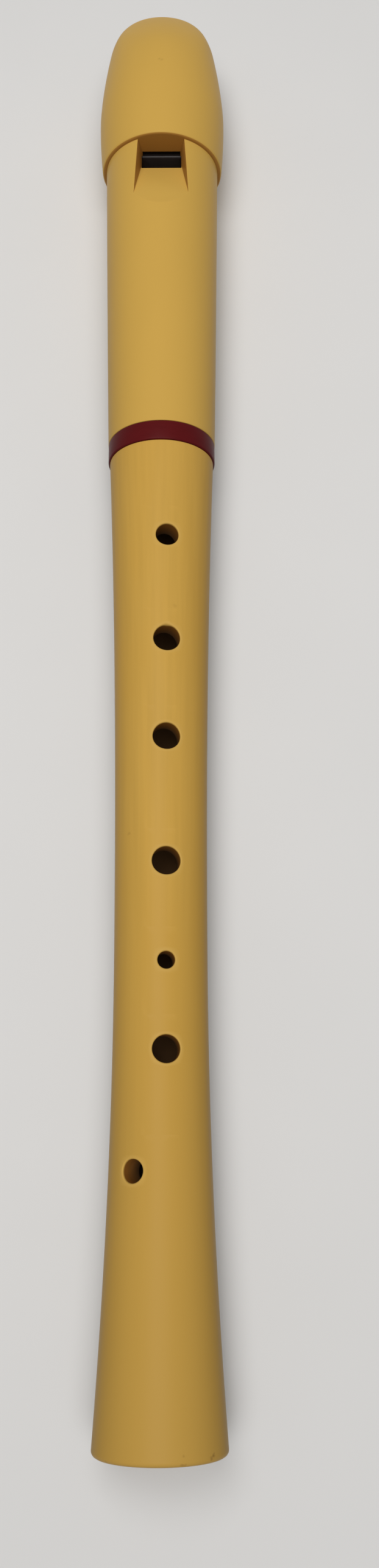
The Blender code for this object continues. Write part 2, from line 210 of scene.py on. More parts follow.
# How far cutters reach, how far they pass the surface they cut, and a short straight lead to an edge
REACH = 0.04
OVERSHOOT = 0.001
LEAD = 0.001

# Within which distance vertices merge, and within which a point counts as lying on a skin
WELD = 0.00002
SKIN_TOLERANCE = 0.000012

# Step that measures a skin's slope, the gap left before the tip, and least divisors
PROBE = 0.00001
TIP_MARGIN = 1e-7
LEAST_COSINE = 0.01
LEAST_SLOPE = 1e-12

# Angle between two faces from which their edge is a real one
SHARP = math.radians(38.0)

# Colours of the finishes, as linear red, green and blue
GOLD = (0.585, 0.355, 0.075)
BODY_GOLD = (0.565, 0.335, 0.070)
WARM_GOLD = (0.560, 0.318, 0.056)
# Hole rims: rubbed lacquer, and lighter as a painted highlight on their rounded edges
WORN_AND_HIGHLIGHT_GOLD = (0.58, 0.35, 0.08)
MAROON = (0.091, 0.0062, 0.0072)
# Hole walls: unlacquered wood, painted darker as painted shade
HOLE_WALL_SHADE_BROWN = (0.27, 0.105, 0.016)
# Bore: painted shade, nearly black
BORE_SHADE_BROWN = (0.09, 0.045, 0.018)
# Painted shade for the window's walls and the cap's lower face
WINDOW_SHADE_BROWN = (0.38, 0.18, 0.035)
STAIN_BROWN = (0.16, 0.075, 0.02)
CORK_BROWN = (0.42, 0.24, 0.12)
BLOCK_BLACK = (0.021, 0.015, 0.013)

# Gloss of the satin plastics and the lacquer, and how rough each finish is, or its least and most
SHEEN = 0.06
SATIN = (0.34, 0.42)
RUBBED_SATIN = (0.34, 0.46)
DULL = (0.45, 0.60)
BARE_WOOD_ROUGHNESS = 0.75
CORK_ROUGHNESS = 0.9
FLOOR_ROUGHNESS = 0.8

# Patterns of the finishes, as noise scales per metre
FLOW_SCALE = 90.0
GLOSS_SCALE = 260.0
PEEL_SCALE = 1500.0
RING_PEEL_SCALE = 1800.0
STREAK_SCALE = 300.0
GRAIN_SCALE = 900.0
CLOUD_SCALE = 60.0
CELL_SCALE = 900.0
SPECK_SCALE = 700.0
BLOCK_GRAIN_SCALE = 1200.0
FLOOR_CLOUD_SCALE = 25.0
RAGGED_SCALE = 2000.0

# Heights of the finishes' relief
PEEL_HEIGHT = 0.000004
GRAIN_HEIGHT = 0.000006
CELL_HEIGHT = 0.00005
BLOCK_GRAIN_HEIGHT = 0.000008

# Faint dot on top of the beak, and how far and how much painted shade darkens the body towards the foot
DOT_STATION = CAP_LOW + 0.0208
DOT_SIZE = 0.0009
DOT_STRENGTH = 0.5
DOT_SHADE = 0.4
FOOT_PAINTED_SHADE_LENGTH = 0.12
FOOT_PAINTED_SHADE = 0.90

# Floor: its size, its rise to the foot, the tone that shows, and how much of it lights body and cap
FLOOR_SIZE = 60.0
FOOT_LIFT = 0.00196
FLOOR_TONE = (0.70, 0.69, 0.675)
FLOOR_BOUNCE = 0.24
CAP_BOUNCE = 1.2

# Light: the levels of world, sky panel and softbox add up to 1, at which colours show about as written
WORLD_LIGHT = 0.12
WORLD_SHOWN = 0.51
SKY_FROM = (-0.02, -0.25, 1.0)
SKY_LEVEL = 0.57
SKY_SPREAD = math.radians(45.0)
SOFTBOX_AT = (-0.06, 0.06, 0.55)
SOFTBOX_SIZE = 0.25
SOFTBOX_LEVEL = 0.31


# Shapes of the instrument

def bore_radius(station):
    """The body's bore, a straight taper down to the foot."""
    share = station / TENON_HIGH
    return FOOT_BORE_RADIUS + (TENON_BORE_RADIUS - FOOT_BORE_RADIUS) * share


def body_radius(station):
    """Outside of the lower body, flaring from the waist to the foot and to the shoulder."""
    waist = bore_radius(WAIST_STATION) + WAIST_WALL
    below = np.clip((WAIST_STATION - station) / WAIST_STATION, 0, 1)
    above = np.clip((station - WAIST_STATION) / (BODY_HIGH - WAIST_STATION), 0, 1)
    return waist + FOOT_FLARE * below ** FOOT_CURVE + (SHOULDER_RADIUS - waist) * above ** SHOULDER_CURVE


def head_radius(station):
    """Outside of the head tube, swelling gently towards the cap."""
    share = np.clip((station - HEAD_LOW) / (NECK_LOW - HEAD_LOW), 0, 1)
    return HEAD_LOW_RADIUS + (HEAD_TOP_RADIUS - HEAD_LOW_RADIUS) * share ** HEAD_CURVE


def cap_radius(station):
    """Turned outside of the cap: a slight swell, a long taper and a rounded corner at the tip."""
    swell = np.clip((CAP_WIDEST - station) / (CAP_WIDEST - CAP_LOW), 0, 1)
    taper = np.clip((station - CAP_WIDEST) / (TIP - CAP_WIDEST), 0, 1)
    corner = np.clip(1 - (TIP - station) / TIP_CORNER_LENGTH, 0, 1)
    radius = CAP_RADIUS - (CAP_RADIUS - CAP_EDGE_RADIUS) * swell ** 2 - BEAK_TAPER * taper ** BEAK_CURVE
    return radius - TIP_CORNER_DEPTH * (1 - np.sqrt(1 - corner ** 2))


def windway_floor(station):
    """Height of the windway's floor, falling towards the tip."""
    return WINDWAY_FLOOR - WINDWAY_DROP * (station - CAP_LOW) / (TIP - CAP_LOW)


def beak_top(station):
    """Height of the hollowed top of the beak, along its middle."""
    along = station - TOP_START
    fall = TOP_ARC - np.sqrt(TOP_ARC ** 2 - along ** 2)
    return CAP_RADIUS + TOP_LIFT - np.sign(along) * fall


def beak_under(station):
    """Height of the hollow under the beak, an arc from UNDER_START to the lip at the tip."""
    start = (UNDER_START, -float(cap_radius(UNDER_START)))
    end = (TIP, windway_floor(TIP) - BEAK_LIP)
    chord = math.dist(start, end)
    offset = math.sqrt(UNDER_ARC ** 2 - chord ** 2 / 4)
    centre_station = (start[0] + end[0]) / 2 + offset * (end[1] - start[1]) / chord
    centre_height = (start[1] + end[1]) / 2 - offset * (end[0] - start[0]) / chord
    lip_edge = np.clip(1 - (TIP - station) / LIP_EDGE, 0, 1)
    rounding = TURNED_EDGE * (1 - np.sqrt(1 - lip_edge ** 2))
    return centre_height + np.sqrt(UNDER_ARC ** 2 - (station - centre_station) ** 2) + rounding


def beak_middle(station):
    """Height from which the cap's section is measured: the axis, or the beak's middle where it is higher."""
    return np.maximum(0.0, (beak_top(station) + beak_under(station)) / 2)


def soft_min(a, b, width):
    """The smaller of two lengths, with the bend between them rounded over a width."""
    share = np.clip(0.5 + 0.5 * (b - a) / width, 0, 1)
    return b + (a - b) * share - width * share * (1 - share)


def cap_reach(station, angle):
    """How far the cap's skin lies from its middle, in the direction of an angle.

    The skin is the nearest of three surfaces, with soft creases between them: the turned outside, the
    beak's top, which falls to both sides as a parabola, and the hollow under the beak.
    """
    middle = beak_middle(station)
    up, aside = np.cos(angle), np.sin(angle)
    turned = np.sqrt(np.maximum(cap_radius(station) ** 2 - (middle * aside) ** 2, 0)) - middle * up
    room_above = beak_top(station) - middle
    root = np.sqrt(up ** 2 + 2 * aside ** 2 * room_above / TOP_CROWN)
    top = 2 * room_above / np.maximum(up + root, LEAST_COSINE)
    under = (middle - beak_under(station)) / np.maximum(-up, LEAST_COSINE)
    return soft_min(soft_min(turned, top, TOP_CREASE), under, UNDER_CREASE)


# Meshes

def place(station, x, height):
    """Points of the frame from stations and places across the bore."""
    return np.stack(np.broadcast_arrays(x, FOOT_Y + station, AXIS_Z + height), axis=-1)


def around(station, radius, angle):
    """Points of the frame from stations, and radii and angles about the bore."""
    return place(station, radius * np.sin(angle), radius * np.cos(angle))


def column_angles(columns):
    """Angles of evenly spaced vertices round the bore."""
    return np.arange(columns) * 2 * math.pi / columns


def evenly(low, high, step=ROW_STEP):
    """Stations from low to high, about a step apart."""
    return np.linspace(low, high, max(1, round(abs(high - low) / step)) + 1)


def strip(first, second):
    """Quads between two closed rows of as many vertices."""
    return list(zip(first, np.roll(first, -1), np.roll(second, -1), second))


def new_object(name, points, faces):
    """Mesh object whose faces point outwards."""
    mesh = bpy.data.meshes.new(name)
    mesh.from_pydata(np.asarray(points).reshape(-1, 3).tolist(), [], faces)
    shape = bmesh.new()
    shape.from_mesh(mesh)
    bmesh.ops.recalc_face_normals(shape, faces=shape.faces)
    shape.to_mesh(mesh)
    shape.free()
    obj = bpy.data.objects.new(name, mesh)
    bpy.context.scene.collection.objects.link(obj)
    return obj


def softened(corners):
    """Closed outline from (station, radius, edge radius) corners, with the edges turned into arcs."""
    outline = []
    for i, (station, radius, edge) in enumerate(corners):
        corner = np.array((station, radius))
        if edge == 0:
            outline.append(tuple(corner))
            continue
        before = np.array(corners[i - 1][:2]) - corner
        after = np.array(corners[(i + 1) % len(corners)][:2]) - corner
        before /= np.linalg.norm(before)
        after /= np.linalg.norm(after)
        half = math.acos(np.clip(before @ after, -1, 1)) / 2
        centre = corner + (before + after) / np.linalg.norm(before + after) * edge / math.sin(half)
        start = corner + before * edge / math.tan(half) - centre
        end = corner + after * edge / math.tan(half) - centre
        for share in np.linspace(0, 1, EDGE_STEPS + 1):
            spoke = start * math.sin((1 - share) * (math.pi / 2 - half)) \
                + end * math.sin(share * (math.pi / 2 - half))
            outline.append(tuple(centre + spoke / np.linalg.norm(spoke) * edge))
    return outline


def turned(name, outline):
    """Closed body of revolution from a closed outline of (station, radius) points."""
    rows = np.arange(len(outline) * FINE_COLUMNS).reshape(len(outline), FINE_COLUMNS)
    points = [around(station, radius, column_angles(FINE_COLUMNS)) for station, radius in outline]
    faces = []
    for first, second in zip(rows, np.roll(rows, -1, axis=0)):
        faces += strip(first, second)
    return new_object(name, points, faces)


def rod(name, radius, low, high, edge=0.0):
    """Solid cylinder along the bore."""
    outline = softened([(high, 0, 0), (high, radius, edge), (low, radius, edge), (low, 0, 0)])
    rod_object = turned(name, outline)
    weld(rod_object)
    return rod_object


def wedge(low_section, high_section):
    """Six-sided cutter between two sections across the bore.

    A section is (station, floor height, half width at the floor, roof height, half width at the roof).
    """
    points = []
    for station, floor, floor_half, roof, roof_half in (low_section, high_section):
        for x, height in ((-floor_half, floor), (floor_half, floor), (roof_half, roof), (-roof_half, roof)):
            points.append(place(station, x, height))
    faces = [(0, 1, 2, 3), (7, 6, 5, 4), (0, 4, 5, 1), (1, 5, 6, 2), (2, 6, 7, 3), (3, 7, 4, 0)]
    return new_object("cutter", points, faces)


def box_cutter(low, high, half_width):
    """Straight cutter from the axis upwards."""
    return wedge((low, 0, half_width, REACH, half_width), (high, 0, half_width, REACH, half_width))


def weld(obj):
    """Merge vertices that lie on top of each other, such as those on the axis."""
    shape = bmesh.new()
    shape.from_mesh(obj.data)
    bmesh.ops.remove_doubles(shape, verts=shape.verts, dist=WELD)
    bmesh.ops.dissolve_degenerate(shape, edges=shape.edges, dist=WELD / 2)
    shape.to_mesh(obj.data)
    shape.free()


def applied(obj):
    """Keep the shape that the object's modifiers give it."""
    graph = bpy.context.evaluated_depsgraph_get()
    mesh = bpy.data.meshes.new_from_object(obj.evaluated_get(graph))
    obj.modifiers.clear()
    obj.data = mesh


def cut(obj, *cutters):
    """Cut the cutters out of an object and remove them."""
    for cutter in cutters:
        boolean = obj.modifiers.new("cut", "BOOLEAN")
        boolean.object = cutter
        boolean.operation = "DIFFERENCE"
        boolean.solver = "EXACT"
    applied(obj)
    for cutter in cutters:
        bpy.data.objects.remove(cutter, do_unlink=True)


def soften_cuts(obj, low=0.0, high=TIP + OVERSHOOT):
    """Small rounded edges where the cuts meet the skin, from a low to a high station.

    They grow from nothing at the low station, so that edges which run out into the skin end clean.
    """
    weld(obj)
    shape = bmesh.new()
    shape.from_mesh(obj.data)
    weight = shape.edges.layers.float.new("bevel_weight_edge")
    for edge in shape.edges:
        if len(edge.link_faces) == 2 and edge.calc_face_angle() > SHARP:
            station = min(v.co.y for v in edge.verts) - FOOT_Y
            if station < high:
                edge[weight] = min(max((station - low) / EDGE_GROWTH, 0.0), 1.0)
    shape.to_mesh(obj.data)
    shape.free()
    bevel = obj.modifiers.new("edges", "BEVEL")
    bevel.width = CUT_EDGE
    bevel.segments = BEVEL_STEPS
    bevel.limit_method = "WEIGHT"
    bevel.use_clamp_overlap = False
    bevel.miter_outer = "MITER_SHARP"
    applied(obj)


def mark(obj, name, domain, chosen):
    """Attribute that is 1 at the chosen points or faces and 0 elsewhere, for the material."""
    attribute = obj.data.attributes.new(name, "FLOAT", domain)
    values = np.zeros(len(attribute.data), np.float32)
    values[chosen] = 1.0
    attribute.data.foreach_set("value", values)


def smooth(obj):
    """Smooth shading, but for the real edges."""
    obj.data.shade_smooth()
    obj.data.set_sharp_from_angle(angle=SHARP)


def follow_skin(obj, level):
    """Give the faces that lie on a skin the skin's own normals, so that cuts leave no trace in its gloss.

    level maps stations, x and heights to 0 on the skin and to more outside it.
    """
    mesh = obj.data
    count = len(mesh.vertices)
    points = np.empty(count * 3)
    mesh.vertices.foreach_get("co", points)
    x, station, height = points.reshape(-1, 3).T - np.array([[0.0], [FOOT_Y], [AXIS_Z]])
    on_skin = np.abs(level(station, x, height)) < SKIN_TOLERANCE
    slope = np.stack([
        level(station, x + PROBE, height) - level(station, x - PROBE, height),
        level(station + PROBE, x, height) - level(station - PROBE, x, height),
        level(station, x, height + PROBE) - level(station, x, height - PROBE),
    ], axis=-1)
    slope /= np.maximum(np.linalg.norm(slope, axis=1, keepdims=True), LEAST_SLOPE)
    normals = np.empty(len(mesh.loops) * 3)
    mesh.corner_normals.foreach_get("vector", normals)
    normals = normals.reshape(-1, 3)
    for polygon in mesh.polygons:
        if not all(on_skin[v] for v in polygon.vertices):
            continue
        corners = slope[list(polygon.vertices)]
        if min(corners @ np.array(polygon.normal)) > math.cos(SHARP / 2):
            normals[list(polygon.loop_indices)] = corners
    mesh.normals_split_custom_set(normals.tolist())


# Lower body

def square_ring(half):
    """Row and column offsets round a square, in order from one corner."""
    run = range(-half, half)
    return ([(i, half) for i in run] + [(half, -i) for i in run]
            + [(-i, -half) for i in run] + [(-half, i) for i in run])


def ring_turns(half):
    """Angles round a hole's rim onto which the offsets of square_ring are drawn."""
    return 2 * math.pi * np.arange(8 * half) / (8 * half) - math.pi / 4


def edge_size(hole, turns):
    """Width of a hole's rounded edge, at angles counted round the rim from the right towards the head."""
    chip = CHIP_SIZE if hole == CHIPPED_HOLE else 0.0
    return HOLE_EDGE + chip * np.exp(-((turns - math.pi / 2) / CHIP_SPREAD) ** 2)


def open_hole(polar, order, radius_at, hole, edge_share, gone):
    """Draw the vertices round a hole onto its rim, and return the rim's vertices in order.

    polar holds (station, angle, radius) for each row and column of vertices, order the skin's rows by
    rising station, and gone collects the faces that fall inside the rim. The rim is wider than the hole
    by edge_share of the hole's rounded edge.
    """
    station, hole_radius, angle = hole
    row = int(np.argmin(np.abs(polar[order, 0, 0] - station)))
    column = round(angle / (2 * math.pi) * COLUMNS)
    for half in range(PATCH_RING, HOLE_RING - 1, -1):
        share = (half - HOLE_RING) / (PATCH_RING - HOLE_RING)
        ring = []
        for turn, (i, j) in zip(ring_turns(half), square_ring(half)):
            rim_radius = hole_radius + edge_share * edge_size(hole, turn)
            at = (order[row + i], (column + j) % COLUMNS)
            old_station, old_angle, old_radius = polar[at]
            x = share * old_radius * math.sin(old_angle - angle) + (1 - share) * rim_radius * math.cos(turn)
            new_station = share * old_station + (1 - share) * (station + rim_radius * math.sin(turn))
            radius = float(radius_at(new_station))
            ring.append(at)
            polar[at] = (new_station, angle + math.asin(x / radius), radius)
    for i in range(-HOLE_RING, HOLE_RING):
        for j in range(-HOLE_RING, HOLE_RING):
            gone.add((min(order[row + i], order[row + i + 1]), (column + j) % COLUMNS))
    return [at[0] * COLUMNS + at[1] for at in ring]


def hole_lip(hole):
    """Rows of points that round a hole's outer edge over into its wall, and one more row in the wall."""
    station, radius, angle = hole
    turns = ring_turns(HOLE_RING)
    edge = edge_size(hole, turns)
    bends = [share * math.pi / 2 for share in np.linspace(0, 1, EDGE_STEPS + 1)[1:]]
    rows = [(1 - math.sin(bend), edge * (1 - math.cos(bend))) for bend in bends]
    for outwards, depth in rows + [(0.0, edge + INNER_SHADE_FADE)]:
        ring_radius = radius + edge * outwards
        x = ring_radius * np.cos(turns)
        along = station + ring_radius * np.sin(turns)
        height = np.sqrt(body_radius(along) ** 2 - x ** 2) - depth
        yield along, angle + np.arctan2(x, height), np.hypot(x, height)


def hole_rows(low, high):
    """Stations from low to high, with evenly spaced rows round each hole."""
    stations = []
    start = low
    for station, _, _ in sorted(HOLES):
        patch = station + PATCH_STEP * np.arange(-PATCH_RING, PATCH_RING + 1)
        stations += list(evenly(start, patch[0])[:-1]) + list(patch)
        start = patch[-1]
    return stations + list(evenly(start, high)[1:])


def body_outline():
    """The body's closed outline of (station, radius) points, and its rows outside and in the bore.

    It runs down the outside, round the foot, up the bore and back over the tenon. The foot's rounding
    ends just below the lowest row of the outside. Both lists of rows are in the order of rising station.
    """
    groove_low, groove_high = CORK_LOW - SEAT_GAP, CORK_HIGH + SEAT_GAP
    groove_radius = CORK_BORE_RADIUS - SEAT_GAP
    outside = hole_rows(FOOT_EDGE, BODY_HIGH - CUT_EDGE)
    bore = hole_rows(FOOT_BORE_CHAMFER, TENON_HIGH - TURNED_EDGE)
    foot_radius = float(body_radius(FOOT_EDGE))
    foot = softened([
        (FOOT_EDGE + LEAD, foot_radius, 0),
        (0, foot_radius, FOOT_ROUNDING),
        (0, FOOT_BORE_RADIUS + FOOT_BORE_CHAMFER, TURNED_EDGE / 2),
        (FOOT_BORE_CHAMFER, bore_radius(FOOT_BORE_CHAMFER), 0),
    ])[1:-1]
    tenon = softened([
        (TENON_HIGH - LEAD, TENON_BORE_RADIUS, 0),
        (TENON_HIGH, TENON_BORE_RADIUS, TURNED_EDGE / 2),
        (TENON_HIGH, TENON_RADIUS, TURNED_EDGE),
        (groove_high, TENON_RADIUS, TURNED_EDGE / 3),
        (groove_high, groove_radius, 0),
        (groove_low, groove_radius, 0),
        (groove_low, TENON_RADIUS, TURNED_EDGE / 3),
        (BODY_HIGH, TENON_RADIUS, 0),
        (BODY_HIGH, SHOULDER_RADIUS, CUT_EDGE),
        (BODY_HIGH - LEAD, SHOULDER_RADIUS, 0),
    ])[1:-1]
    outline = [(s, float(body_radius(s))) for s in reversed(outside)] + foot
    outline += [(s, bore_radius(s)) for s in bore] + tenon
    outer_rows = np.arange(len(outside))[::-1]
    bore_rows = np.arange(len(bore)) + len(outside) + len(foot)
    return np.array(outline), outer_rows, bore_rows


def build_body():
    """Lower body: waisted tube with round holes, a rounded foot and the tenon."""
    outline, outer_rows, bore_rows = body_outline()
    polar = np.empty((len(outline), COLUMNS, 3))
    polar[..., 0] = outline[:, None, 0]
    polar[..., 1] = column_angles(COLUMNS)
    polar[..., 2] = outline[:, None, 1]
    gone = set()
    rims = [(open_hole(polar, outer_rows, body_radius, hole, 1, gone),
             open_hole(polar, bore_rows, bore_radius, hole, 0, gone)) for hole in HOLES]

    points = [around(polar[..., 0], polar[..., 2], polar[..., 1]).reshape(-1, 3)]
    numbers = np.arange(len(outline) * COLUMNS).reshape(len(outline), COLUMNS)
    faces = []
    for i in range(len(outline)):
        quads = strip(numbers[i], numbers[(i + 1) % len(outline)])
        faces += [quad for j, quad in enumerate(quads) if (i, j) not in gone]
    count = numbers.size
    # The bore and the holes' walls are marked for unlacquered wood painted darker as painted shade
    shaded_bore_vertices = list(numbers[bore_rows[1:]].flat)
    inside_painted_shade = list(shaded_bore_vertices)
    # The lip rows are marked for the rims' wear and painted highlight
    worn_and_highlight = []
    for hole, (outer_rim, bore_rim) in zip(HOLES, rims):
        ring = outer_rim
        for station, angle, radius in hole_lip(hole):
            points.append(around(station, radius, angle))
            following = list(range(count, count + len(ring)))
            faces += strip(ring, following)
            worn_and_highlight += ring
            ring = following
            count += len(ring)
        inside_painted_shade += ring
        faces += strip(ring, bore_rim)
    body = new_object("body_shell", np.concatenate(points), faces)
    # Marks for the material: painted shade in holes and bore, darkest in the bore, and the rims' wear and
    # painted highlight
    mark(body, "inside_painted_shade", "POINT", inside_painted_shade)
    mark(body, "bore", "POINT", shaded_bore_vertices)
    mark(body, "worn_and_highlight", "POINT", worn_and_highlight)
    smooth(body)
    follow_skin(body, lambda station, x, height: np.hypot(x, height) - body_radius(station))
    return body


# Head tube

def ramp_section(station):
    """Section of the ramp: its floor, and side walls that flare outwards and towards the foot."""
    drop = LABIUM_STATION - station
    floor = LABIUM_HEIGHT + drop * math.tan(LABIUM_SLOPE)
    floor_half = (WINDOW_WIDTH + TURNED_EDGE) / 2 + drop * math.tan(RAMP_FLARE)
    return station, floor, floor_half, REACH, floor_half + (REACH - floor) * math.tan(WINDOW_DRAFT)


def ramp_end():
    """Station at which the ramp's side walls run out into the skin."""
    stations = np.linspace(NECK_LOW, NECK_LOW - REACH, RAMP_ROWS)
    _, floor, floor_half, _, _ = ramp_section(stations)
    under_skin = np.hypot(floor, floor_half) < head_radius(stations)
    return float(stations[np.argmin(under_skin)])


def on_window_wall(face):
    """Whether a face belongs to the side walls of the window and of the ramp."""
    return (abs(face.normal.x) > math.cos(SHARP) and face.center.z > AXIS_Z
            and abs(face.center.x) < WINDOW_WIDTH and face.center.y - FOOT_Y > ramp_end())


def build_head():
    """Head tube: socket below, neck above, and the window with its labium ramp on top."""
    corners = [(NECK_HIGH, NECK_RADIUS, TURNED_EDGE), (NECK_LOW, NECK_RADIUS, 0)]
    corners += [(s, float(head_radius(s)), 0) for s in evenly(NECK_LOW, ramp_end(), EDGE_GROWTH / 4)]
    corners += [(s, float(head_radius(s)), 0) for s in evenly(ramp_end(), HEAD_LOW + LEAD)[1:]]
    corners += [
        (HEAD_LOW, HEAD_LOW_RADIUS, CUT_EDGE),
        (HEAD_LOW, SOCKET_RADIUS, TURNED_EDGE),
        (SOCKET_HIGH, SOCKET_RADIUS, 0),
        (SOCKET_HIGH, HEAD_BORE_RADIUS, 0),
        (NECK_LOW, HEAD_BORE_RADIUS, 0),
        (NECK_LOW, BLOCK_SOCKET_RADIUS, 0),
        (NECK_HIGH, BLOCK_SOCKET_RADIUS, 0),
    ]
    head = turned("head_shell", softened(corners))
    inner_half = WINDOW_WIDTH / 2 - TURNED_EDGE
    underside = LABIUM_HEIGHT - LABIUM_THICKNESS
    undercut = wedge((LABIUM_STATION - LABIUM_UNDERCUT, 0, inner_half, underside, inner_half),
                     (LABIUM_STATION + TURNED_EDGE, 0, inner_half, underside, inner_half))
    run_out = LABIUM_STATION - (HEAD_TOP_RADIUS - LABIUM_HEIGHT) / math.tan(LABIUM_SLOPE) - OVERSHOOT
    ramp = wedge(ramp_section(run_out), ramp_section(CAP_LOW))
    cut(head, box_cutter(LABIUM_STATION, CAP_LOW, WINDOW_WIDTH / 2), undercut, ramp,
        box_cutter(NECK_LOW, NECK_HIGH + SEAT_GAP, KEY_HALF_WIDTH + SEAT_GAP))
    soften_cuts(head, ramp_end(), NECK_LOW - CUT_EDGE)
    # The window's walls are marked to get painted shade
    mark(head, "inside_painted_shade", "FACE", [on_window_wall(face) for face in head.data.polygons])
    smooth(head)
    follow_skin(head, lambda station, x, height: np.hypot(x, height) - head_radius(station))
    return head


# Cap and block

def over_floor_cutter(lift, half_width):
    """Everything above the plane of the windway's floor, raised by a lift."""
    low, high = CAP_LOW - 2 * OVERSHOOT, TIP + 2 * OVERSHOOT
    return wedge((low, windway_floor(low) + lift, half_width, REACH, half_width),
                 (high, windway_floor(high) + lift, half_width, REACH, half_width))


def windway_cutter():
    """Tapered air channel between the block's flat top and the cap."""

    def section(station):
        share = (station - CAP_LOW) / (TIP - CAP_LOW)
        floor = windway_floor(station)
        height = WINDWAY_EXIT_HEIGHT + (WINDWAY_ENTRY_HEIGHT - WINDWAY_EXIT_HEIGHT) * share
        half = (WINDWAY_EXIT_WIDTH + (WINDWAY_ENTRY_WIDTH - WINDWAY_EXIT_WIDTH) * share) / 2
        return station, floor, half, floor + height, half

    return wedge(section(CAP_LOW - OVERSHOOT), section(TIP + OVERSHOOT))


def roof_chamfer_cutter():
    """Slanting edge of the windway's roof where the air comes out."""
    roof = windway_floor(CAP_LOW) + WINDWAY_EXIT_HEIGHT
    half = WINDWAY_EXIT_WIDTH / 2
    floor = roof - OVERSHOOT / 2
    return wedge((CAP_LOW - OVERSHOOT, floor, half, roof + ROOF_CHAMFER + OVERSHOOT, half),
                 (CAP_LOW + ROOF_CHAMFER, floor, half, roof, half))


def cap_level(station, x, height):
    """How far a point lies outside the cap's skin."""
    aside = height - beak_middle(station)
    return np.hypot(x, aside) - cap_reach(station, np.arctan2(x, aside))


def cap_skin():
    """The cap's whole outside: a rounded lower edge, a shaft and a rounded tip, closed at both ends."""
    rolls = np.linspace(0, math.pi / 2, 2 * EDGE_STEPS + 1)
    bends = np.linspace(0, math.pi / 2, 4 * EDGE_STEPS + 1)
    edge = CAP_LOW + CAP_EDGE * (1 - np.cos(rolls))
    shaft = np.linspace(CAP_LOW + CAP_EDGE, TIP - TIP_CORNER_LENGTH, CAP_ROWS)[1:-1]
    corner = TIP - TIP_CORNER_LENGTH * (1 - np.sin(bends))
    stations = np.minimum(np.concatenate([edge, shaft, corner]), TIP - TIP_MARGIN)
    insets = np.zeros(len(stations))
    insets[:len(edge)] = CAP_EDGE * (1 - np.sin(rolls))

    angles = column_angles(FINE_COLUMNS)
    points = [place(CAP_LOW, 0.0, 0.0).reshape(1, 3)]
    for station, inset in zip(stations, insets):
        reach = cap_reach(station, angles) - inset
        points.append(place(station, reach * np.sin(angles), beak_middle(station) + reach * np.cos(angles)))
    points.append(place(TIP, 0.0, beak_middle(TIP)).reshape(1, 3))
    rows = 1 + np.arange(len(stations) * FINE_COLUMNS).reshape(len(stations), FINE_COLUMNS)
    faces = []
    for first, second in zip(rows, rows[1:]):
        faces += strip(first, second)
    for pole, row in ((0, rows[0]), (1 + rows.size, rows[-1])):
        faces += [(pole, a, b) for a, b in zip(row, np.roll(row, -1))]
    return new_object("beak_shell", np.concatenate(points), faces)


def build_cap():
    """Mouthpiece cap: a lofted skin whose creases are soft, hollowed for neck, block and windway."""
    cap = cap_skin()
    cavity = rod("cutter", NECK_RADIUS + SEAT_GAP, CAP_LOW - OVERSHOOT, NECK_HIGH + SEAT_GAP)
    cut(cavity, over_floor_cutter(-OVERSHOOT, KEY_HALF_WIDTH))
    block_hole = rod("cutter", BLOCK_SOCKET_RADIUS, CAP_LOW - OVERSHOOT, TIP - LIP_WALL)
    cut(block_hole, over_floor_cutter(SEAT_GAP, REACH))
    cut(cap, cavity, block_hole, windway_cutter(), roof_chamfer_cutter())
    soften_cuts(cap, CAP_LOW + ROOF_CHAMFER)
    smooth(cap)
    follow_skin(cap, cap_level)
    return cap


def block_chamfer_cutter():
    """Slanting front edge of the block's flat top."""
    top = windway_floor(BLOCK_LOW + BLOCK_CHAMFER)
    return wedge((BLOCK_LOW - OVERSHOOT, top - BLOCK_CHAMFER - OVERSHOOT, REACH, REACH, REACH),
                 (BLOCK_LOW + BLOCK_CHAMFER, top, REACH, REACH, REACH))


def under_beak_cutter():
    """Everything below the hollow under the beak."""
    stations = np.linspace(UNDER_START - OVERSHOOT, TIP, UNDER_ROWS)
    points = []
    for x in (-REACH, REACH):
        arc = [place(s, x, float(beak_under(s))) for s in stations]
        points += arc + [place(TIP, x, -REACH), place(stations[0], x, -REACH)]
    half = len(points) // 2
    faces = [tuple(range(half)), tuple(range(2 * half - 1, half - 1, -1))]
    faces += [(i, (i + 1) % half, half + (i + 1) % half, half + i) for i in range(half)]
    return new_object("cutter", points, faces)


def build_block():
    """Round plug with a flat top, cut flush with the hollow under the beak."""
    block = rod("block_plug", BLOCK_RADIUS, BLOCK_LOW, BLOCK_HIGH, TURNED_EDGE)
    cut(block, over_floor_cutter(0.0, REACH), block_chamfer_cutter(), under_beak_cutter())
    soften_cuts(block)
    smooth(block)
    return block


# Ring and cork

def build_ring():
    """Loose ring between body and head, its lower edge more rounded than its upper one."""
    bore = TENON_RADIUS + SEAT_GAP
    ring = turned("colour_band", softened([
        (RING_HIGH, bore, CUT_EDGE),
        (RING_HIGH, RING_RADIUS, CUT_EDGE),
        (RING_LOW, RING_RADIUS, TURNED_EDGE),
        (RING_LOW, bore, CUT_EDGE),
    ]))
    smooth(ring)
    return ring


def build_cork():
    """Cork sleeve in the tenon's groove, slightly barrelled."""
    middle = (CORK_LOW + CORK_HIGH) / 2
    half = (CORK_HIGH - CORK_LOW) / 2
    corners = [(CORK_HIGH, CORK_BORE_RADIUS, 0)]
    for station in np.linspace(CORK_HIGH, CORK_LOW, CORK_ROWS):
        bulge = TURNED_EDGE * abs((station - middle) / half) ** 3
        corners.append((station, CORK_RADIUS - bulge, 0))
    corners.append((CORK_LOW, CORK_BORE_RADIUS, 0))
    cork = turned("cork_sleeve", softened(corners))
    smooth(cork)
    return cork


# Materials

def feed(tree, socket, value):
    """Give a socket a value, or link it to the socket that feeds it."""
    if isinstance(value, bpy.types.NodeSocket):
        tree.links.new(value, socket)
    else:
        socket.default_value = value


